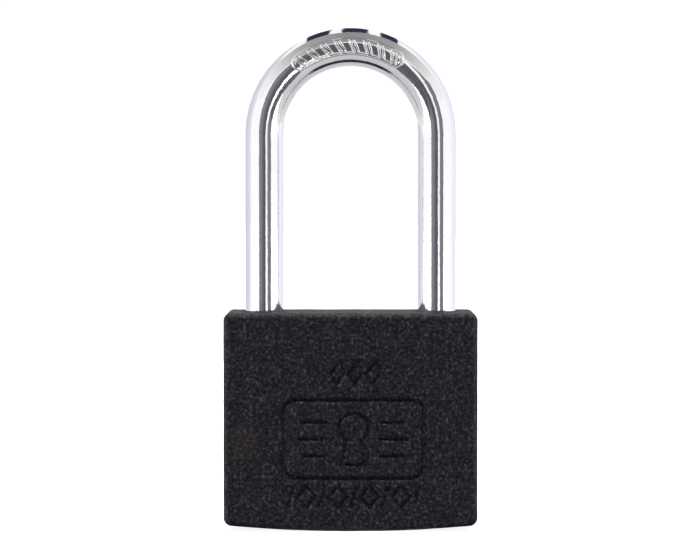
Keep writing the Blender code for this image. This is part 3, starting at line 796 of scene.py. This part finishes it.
def coating_material():
    """Black wrinkle coating: a fine matt speckle whose lightest flecks are painted glints, a rusty speck, a brown
    tint and rubbed edges.
    """
    material, tree, shader = new_material("black_wrinkle_coating", Specular_IOR_Level=0.10)
    where = place(tree)
    fine = grain(tree, where, 0.62 * MM, 3.0, 0.62)
    broad = grain(tree, where, 2.6 * MM, 2.0, 0.5)
    speckle = combine(tree, "ADD", multiply(tree, fine, 0.85), multiply(tree, broad, 0.15))
    # Painted glints: the speckle's lightest tones stand in for light caught by the coating's bumps.
    base = colours(tree, speckle, COATING_AND_GLINT_TONES)

    speck = spot(tree, where, SPECK_PLACE, SPECK_RADIUS)
    flecks = grain(tree, where, 0.36 * MM, 2.0, 0.5)
    speck = multiply(tree, speck, remap(tree, flecks, 0.42, 0.62, 0.05, 0.70))
    stained = mix(tree, speck, base, RUST)

    tint = spot(tree, where, TINT_PLACE, TINT_RADIUS)
    patchy = remap(tree, grain(tree, where, 0.9 * MM, 2.0, 0.5), 0.35, 0.70, 0.0, 0.60)
    tinted = mix(tree, multiply(tree, tint, patchy), stained, BROWN)

    rubbed = remap(tree, fine, 0.35, 0.60, 0.25, 0.90)
    worn = multiply(tree, edge_nearness(tree, where), rubbed)
    tree.links.new(mix(tree, worn, tinted, WORN_GREY), shader.inputs["Base Color"])
    tree.links.new(remap(tree, fine, 0.3, 0.7, 0.68, 0.46), shader.inputs["Roughness"])
    height = combine(tree, "ADD", fine, multiply(tree, broad, 0.6))
    bump(tree, shader, height, 0.08 * MM, 1.0)
    return material


def chrome_material():
    """Polished chrome with the faintest haze, orange peel and fine wiping marks."""
    material, tree, shader = new_material("polished_chrome", Metallic=1.0)
    where = place(tree)
    haze = grain(tree, where, 7.0 * MM, 3.0, 0.6)
    wipes = grain(tree, place(tree, (1.0, 1.0, 0.12)), 0.35 * MM, 2.0, 0.5)
    peel = grain(tree, where, 1.6 * MM, 2.0, 0.5)
    tree.links.new(colours(tree, haze, CHROME_TONES), shader.inputs["Base Color"])
    hazy = remap(tree, haze, 0.35, 0.75, 0.035, 0.07)
    marks = combine(tree, "ADD", hazy, multiply(tree, wipes, 0.04))
    tree.links.new(marks, shader.inputs["Roughness"])
    drawn = grain(tree, place(tree, (1.0, 1.0, 0.3)), 0.7 * MM, 3.0, 0.6)
    height = combine(tree, "ADD", peel, multiply(tree, drawn, 1.5))
    bump(tree, shader, height, 0.008 * MM, 0.9)
    return material


def machined_material(name, light, dark, roughness, ring_pitch):
    """Turned metal: fine tool marks round the vertical axis, and a faint stain."""
    material, tree, shader = new_material(name, Metallic=1.0)
    where = place(tree)
    stain = grain(tree, where, 2.2 * MM, 3.0, 0.6)
    marks = grain(tree, place(tree, (0.15, 0.15, 1.0)), ring_pitch, 2.0, 0.6)
    blotches = combine(tree, "ADD", multiply(tree, stain, 0.6), multiply(tree, marks, 0.4))
    tone = colours(tree, blotches, [(0.35, dark), (0.65, light)])
    tree.links.new(tone, shader.inputs["Base Color"])
    rough = remap(tree, stain, 0.3, 0.7, roughness, roughness + 0.16)
    tree.links.new(rough, shader.inputs["Roughness"])
    bump(tree, shader, marks, 0.02 * MM, 0.7)
    return material


# ---- Pieces, bodies and looks -------------------------------------------------------------

COATING = coating_material()
CHROME = chrome_material()
BRASS = machined_material("machined_brass", (0.80, 0.60, 0.28), (0.62, 0.42, 0.17), 0.22, 0.12 * MM)
STEEL = machined_material("machined_steel", (0.60, 0.61, 0.62), (0.44, 0.45, 0.46), 0.24, 0.12 * MM)
WIRE_STEEL = machined_material("spring_wire", (0.46, 0.47, 0.49), (0.32, 0.33, 0.35), 0.28, 0.1 * MM)
SLOT_MATERIALS = {
    "black_coating": COATING,
    "chrome_plate": CHROME,
    "brass": BRASS,
    "steel": STEEL,
    "spring_steel": WIRE_STEEL,
}


def stand_for(piece, node, body, slot):
    """A detailed piece shown instead of a CAD node."""
    piece.data.materials.clear()
    piece.data.materials.append(SLOT_MATERIALS[slot])
    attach(piece, body)
    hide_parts(node)


def dress_cad_nodes():
    """Give every CAD node that stays the material of its slot."""
    for row in frame["record"]["subparts"]:
        node = frame["nodes"][row["node"]]
        for slot in node.material_slots:
            slot.material = SLOT_MATERIALS[row["material_slot"]]


stand_for(make_body(), "lock_body", "case", "black_coating")
stand_for(make_side_plug(), "side_plug", "case", "black_coating")
stand_for(
    make_pin("padlock_heel_pin", HEEL_PIN_LOW, HEEL_PIN_HIGH), "heel_retaining_pin", "case", "steel"
)
stand_for(
    make_pin("padlock_cylinder_pin", CYLINDER_PIN_LOW, CYLINDER_PIN_HIGH),
    "cylinder_retaining_pin",
    "case",
    "steel",
)
stand_for(make_shackle(), "shackle", "shackle", "chrome_plate")
dress_cad_nodes()


# ---- Studio -------------------------------------------------------------------------------

# Places and sizes are in metres, and azimuths in degrees from the front towards +X.

WORLD_STRENGTH = 1.12
KEY_POWER = 15.5
KEY_SIZE = 0.45
KEY_PLACE = (-0.08, -0.34, 0.85)
KEY_TARGET = (0.0, 0.0, 0.03)
FLOOR_REACH = 3.0
FLOOR_TONES = [(0.0, (0.50,) * 3), (1.0, (0.52,) * 3)]
FLOOR_GLOW = 0.90

WALL_DISTANCE = 0.9                 # of the upright cards from the object
WALL_FOOT = -0.3
FRONT_TOP = 0.45
BACK_TOP = 0.9
FRONT_LEFT = (-32.0, 8.0)           # azimuths that the cards in front stand between
FRONT_RIGHT = (18.0, 40.0)
ROOF_HEIGHT = 0.42
OPENING_HEIGHT = 0.40               # of the three dark cards that draw the flecks on the arch
OPENINGS = [
    ((-0.153, -0.067), (-0.136, -0.052)),
    ((-0.028, 0.055), (-0.019, 0.052)),
    ((0.097, 0.169), (0.091, 0.148)),
]
NAVY = (0.030, 0.036, 0.065)
STEEL_BLUE = (0.055, 0.065, 0.105)
WHITE = (1.05, 1.05, 1.05)
GREY = (0.70, 0.69, 0.70)
BODY_GAP = 0.012                    # from the object's middle to the low cards
LOW_INNER = 0.12                    # where the low cards start to fade sideways
LOW_OUTER = 0.75                    # and where they end
LOW_FRONT = -0.16
LOW_BACK = 0.6
LOW_HEIGHT = 0.0006                 # the three heights keep overlapping cards apart
MIDDLE_HEIGHT = 0.0004
WEDGE_HEIGHT = 0.0012
WEDGE_START = 0.13
WEDGE_SHADE = [(-0.9, (0.09, 0.085, 0.09)), (-0.13, (0.14, 0.135, 0.14))]

FLAG_DISTANCE = 0.55
FLAG_FOOT = 0.002
FLAG_TOP = 0.80
UNDER_FLOOR = -0.004                # height of the level flag
UNDER_REACH = 2.5
UNDER_TONE = 0.80

LENS = 154.7                        # in millimetres, like the sensor's width
SENSOR_WIDTH = 36.0
CAMERA_DISTANCE = 600 * MM
CAMERA_ELEVATION = 1.9
CAMERA_TARGET = (-0.1 * MM, 0.0, 49.2 * MM)


def glow_material(name, axis, stops):
    """A plain emitter whose colour changes along one axis through (metres, colour) stops."""
    material = bpy.data.materials.new(name)
    material.use_nodes = True
    tree = material.node_tree
    tree.nodes.clear()
    glow = tree.nodes.new("ShaderNodeEmission")
    output = tree.nodes.new("ShaderNodeOutputMaterial")
    tree.links.new(glow.outputs["Emission"], output.inputs["Surface"])
    split = tree.nodes.new("ShaderNodeSeparateXYZ")
    tree.links.new(place(tree), split.inputs["Vector"])
    low = stops[0][0]
    high = stops[-1][0]
    along = remap(tree, split.outputs[axis], low, high, 0.0, 1.0)
    ramp_stops = [((at - low) / (high - low), colour) for at, colour in stops]
    tree.links.new(colours(tree, along, ramp_stops), glow.inputs["Color"])
    return material


def card(name, corners, axis, stops):
    """A glowing card that only shows in reflections, graded along one axis."""
    obj = mesh_object(name, corners, [(0, 1, 2, 3)])
    obj.data.materials.append(glow_material(name, axis, stops))
    obj.visible_camera = False
    obj.visible_diffuse = False
    obj.visible_shadow = False
    obj.visible_transmission = False
    return obj


def wall_corners(start, end, distance, low, high):
    """An upright card between two azimuths and two heights."""
    corners = []
    for azimuth, height in ((start, low), (end, low), (end, high), (start, high)):
        angle = math.radians(azimuth)
        corners.append((distance * math.sin(angle), -distance * math.cos(angle), height))
    return corners


def level_corners(near, far, near_y, far_y, height):
    """A level card. Near and far are the two ends' lowest and highest x."""
    return [
        (near[0], near_y, height),
        (near[1], near_y, height),
        (far[1], far_y, height),
        (far[0], far_y, height),
    ]


def wedge_corners(start, end, near, far, height):
    """A level card between two azimuths and two distances from the object."""
    corners = []
    for azimuth, distance in ((start, near), (end, near), (end, far), (start, far)):
        angle = math.radians(azimuth)
        corners.append((distance * math.sin(angle), -distance * math.cos(angle), height))
    return corners


def make_floor():
    """A pale level floor that glows a little, so that it shows as white as the background."""
    reach = FLOOR_REACH
    corners = [(-reach, -reach, 0.0), (reach, -reach, 0.0), (reach, reach, 0.0), (-reach, reach, 0.0)]
    floor = mesh_object("studio_floor", corners, [(0, 1, 2, 3)])
    material, tree, shader = new_material("studio_floor", Roughness=0.9, Specular_IOR_Level=0.0)
    tone = colours(tree, grain(tree, place(tree), 0.4, 2.0, 0.5), FLOOR_TONES)
    tree.links.new(tone, shader.inputs["Base Color"])
    shader.inputs["Emission Color"].default_value = (1.0, 1.0, 1.0, 1.0)
    shader.inputs["Emission Strength"].default_value = FLOOR_GLOW
    floor.data.materials.append(material)
    floor.visible_diffuse = False


def make_world():
    """An even white surround."""
    world = bpy.data.worlds.new("studio_world")
    world.use_nodes = True
    background = world.node_tree.nodes["Background"]
    background.inputs["Color"].default_value = (1.0, 1.0, 1.0, 1.0)
    background.inputs["Strength"].default_value = WORLD_STRENGTH
    world.cycles.sampling_method = "NONE"
    bpy.context.scene.world = world
    bpy.context.scene.view_settings.view_transform = "Standard"


def make_wall_cards():
    """Dark cards in front, for the legs' dark bands, and pale ones behind, for their outlines."""
    left = wall_corners(*FRONT_LEFT, WALL_DISTANCE, WALL_FOOT, FRONT_TOP)
    card("card_front_left", left, "X", [
        (left[0][0], (0.270, 0.265, 0.290)),
        (-0.26, (0.250, 0.240, 0.265)),
        (-0.10, (0.140, 0.128, 0.150)),
        (0.05, (0.105, 0.096, 0.115)),
        (left[1][0], (0.180, 0.165, 0.190)),
    ])
    right = wall_corners(*FRONT_RIGHT, WALL_DISTANCE, WALL_FOOT, FRONT_TOP)
    card("card_front_right", right, "X", [
        (right[0][0], (0.30, 0.285, 0.31)),
        (0.42, (0.215, 0.20, 0.215)),
        (right[1][0], (0.24, 0.225, 0.24)),
    ])
    back_left = wall_corners(-150.0, -88.0, WALL_DISTANCE, WALL_FOOT, BACK_TOP)
    card("card_back_left", back_left, "Y", [
        (back_left[1][1], (0.90, 0.89, 0.95)),
        (0.35, (0.76, 0.75, 0.83)),
        (back_left[0][1], (0.66, 0.65, 0.75)),
    ])
    back_right = wall_corners(94.0, 160.0, WALL_DISTANCE, WALL_FOOT, BACK_TOP)
    card("card_back_right", back_right, "Y", [
        (back_right[0][1], (1.06, 1.06, 1.13)),
        (0.45, (0.98, 0.98, 1.09)),
        (back_right[1][1], (0.80, 0.80, 0.90)),
    ])


def make_roof_cards():
    """Cards overhead: the flecks along the arch's top, and the grey band below them."""
    near_y = 0.04
    far_y = 0.70
    for index, (near, away) in enumerate(OPENINGS):
        corners = level_corners(near, away, near_y, far_y, OPENING_HEIGHT)
        stops = [(near_y, NAVY), (0.35, NAVY), (far_y, STEEL_BLUE)]
        card(f"card_roof_{index + 1}", corners, "Y", stops)
    across = (-WALL_DISTANCE, WALL_DISTANCE)
    roof = level_corners(across, across, -0.62, near_y, ROOF_HEIGHT)
    card("card_roof_front", roof, "X", [
        (-WALL_DISTANCE, WHITE),
        (-0.50, (0.98, 0.98, 0.97)),
        (-0.30, (0.66, 0.66, 0.64)),
        (-0.18, (0.44, 0.435, 0.42)),
        (0.0, (0.30, 0.30, 0.31)),
        (0.15, (0.38, 0.375, 0.36)),
        (0.30, (0.66, 0.66, 0.64)),
        (0.50, (0.98, 0.98, 0.97)),
        (WALL_DISTANCE, WHITE),
    ])


def make_low_cards():
    """Cards close over the floor: the arch's inner side, the legs' bands seen from above, and a dark strip of
    painted contact shadow under the body.
    """
    inner = (-LOW_INNER, LOW_INNER)
    front = (LOW_FRONT, -BODY_GAP, LOW_HEIGHT)
    back = (BODY_GAP, LOW_BACK, LOW_HEIGHT)
    card("card_floor_front", level_corners(inner, inner, *front), "Y", [
        (LOW_FRONT, (0.9,) * 3),
        (-0.11, GREY),
        (-BODY_GAP, (0.62,) * 3),
    ])
    card("card_floor_back", level_corners(inner, inner, *back), "Y", [
        (BODY_GAP, (0.60, 0.59, 0.63)),
        (0.2, (0.80, 0.80, 0.84)),
        (LOW_BACK, (1.0,) * 3),
    ])
    right_fade = [(LOW_INNER, GREY), (0.3, (0.80,) * 3), (LOW_OUTER, WHITE)]
    left_fade = [(-at, tone) for at, tone in reversed(right_fade)]
    sides = [
        ("left", (-LOW_OUTER, -LOW_INNER), left_fade),
        ("right", (LOW_INNER, LOW_OUTER), right_fade),
    ]
    for name, ends, fade in sides:
        card(f"card_floor_front_{name}", level_corners(ends, ends, *front), "X", fade)
        card(f"card_floor_back_{name}", level_corners(ends, ends, *back), "X", fade)
    # A dark strip just over the floor under the body, seen only in the chrome: painted shade for the body's
    # contact shadow, which carries the arch's dark line out past the body's ends.
    across = (-0.3, 0.3)
    middle = level_corners(across, across, -BODY_GAP, BODY_GAP, MIDDLE_HEIGHT)
    card("card_floor_painted_shadow", middle, "X", [
        (-0.3, WHITE),
        (-0.12, (0.50,) * 3),
        (-0.03, (0.10,) * 3),
        (0.03, (0.10,) * 3),
        (0.12, (0.50,) * 3),
        (0.3, WHITE),
    ])
    for name, azimuths in (("left", FRONT_LEFT), ("right", FRONT_RIGHT)):
        wedge = wedge_corners(*azimuths, WEDGE_START, WALL_DISTANCE, WEDGE_HEIGHT)
        card(f"card_floor_{name}", wedge, "Y", WEDGE_SHADE)


def make_flags():
    """Cards that only matt surfaces see.

    Three black ones round the front keep soft side light off the body's face. A pale level one
    under the floor, which matt surfaces don't see, sets the light that comes from below.
    """
    flags = [
        (wall_corners(start, end, FLAG_DISTANCE, FLAG_FOOT, FLAG_TOP), 0.0)
        for start, end in ((-50.0, 50.0), (-78.0, -50.0), (50.0, 78.0))
    ]
    across = (-UNDER_REACH, UNDER_REACH)
    flags.append((level_corners(across, across, *across, UNDER_FLOOR), UNDER_TONE))
    for index, (corners, tone) in enumerate(flags):
        stops = [(UNDER_FLOOR, (tone,) * 3), (FLAG_TOP, (tone,) * 3)]
        flag = card(f"flag_{index + 1}", corners, "Z", stops)
        flag.visible_glossy = False
        flag.visible_diffuse = True


def make_key_light():
    """A soft light from above the front, left out of the reflections."""
    data = bpy.data.lights.new("key_light", "AREA")
    data.shape = "SQUARE"
    data.size = KEY_SIZE
    data.energy = KEY_POWER
    light = bpy.data.objects.new("key_light", data)
    bpy.context.scene.collection.objects.link(light)
    light.location = KEY_PLACE
    light.rotation_mode = "QUATERNION"
    light.rotation_quaternion = (Vector(KEY_PLACE) - Vector(KEY_TARGET)).to_track_quat("Z", "Y")
    light.visible_glossy = False
    light.visible_camera = False


def make_camera():
    """A long lens looking slightly down at the front."""
    data = bpy.data.cameras.new("camera")
    camera = bpy.data.objects.new("camera", data)
    bpy.context.scene.collection.objects.link(camera)
    data.sensor_width = SENSOR_WIDTH
    data.lens = LENS
    data.clip_start = 0.01
    data.clip_end = 20.0
    elevation = math.radians(CAMERA_ELEVATION)
    back = Vector((0.0, -math.cos(elevation), math.sin(elevation)))
    camera.location = Vector(CAMERA_TARGET) + CAMERA_DISTANCE * back
    camera.rotation_mode = "QUATERNION"
    camera.rotation_quaternion = (-back).to_track_quat("-Z", "Y")
    bpy.context.scene.camera = camera


make_floor()
make_world()
make_wall_cards()
make_roof_cards()
make_low_cards()
make_flags()
make_key_light()
make_camera()
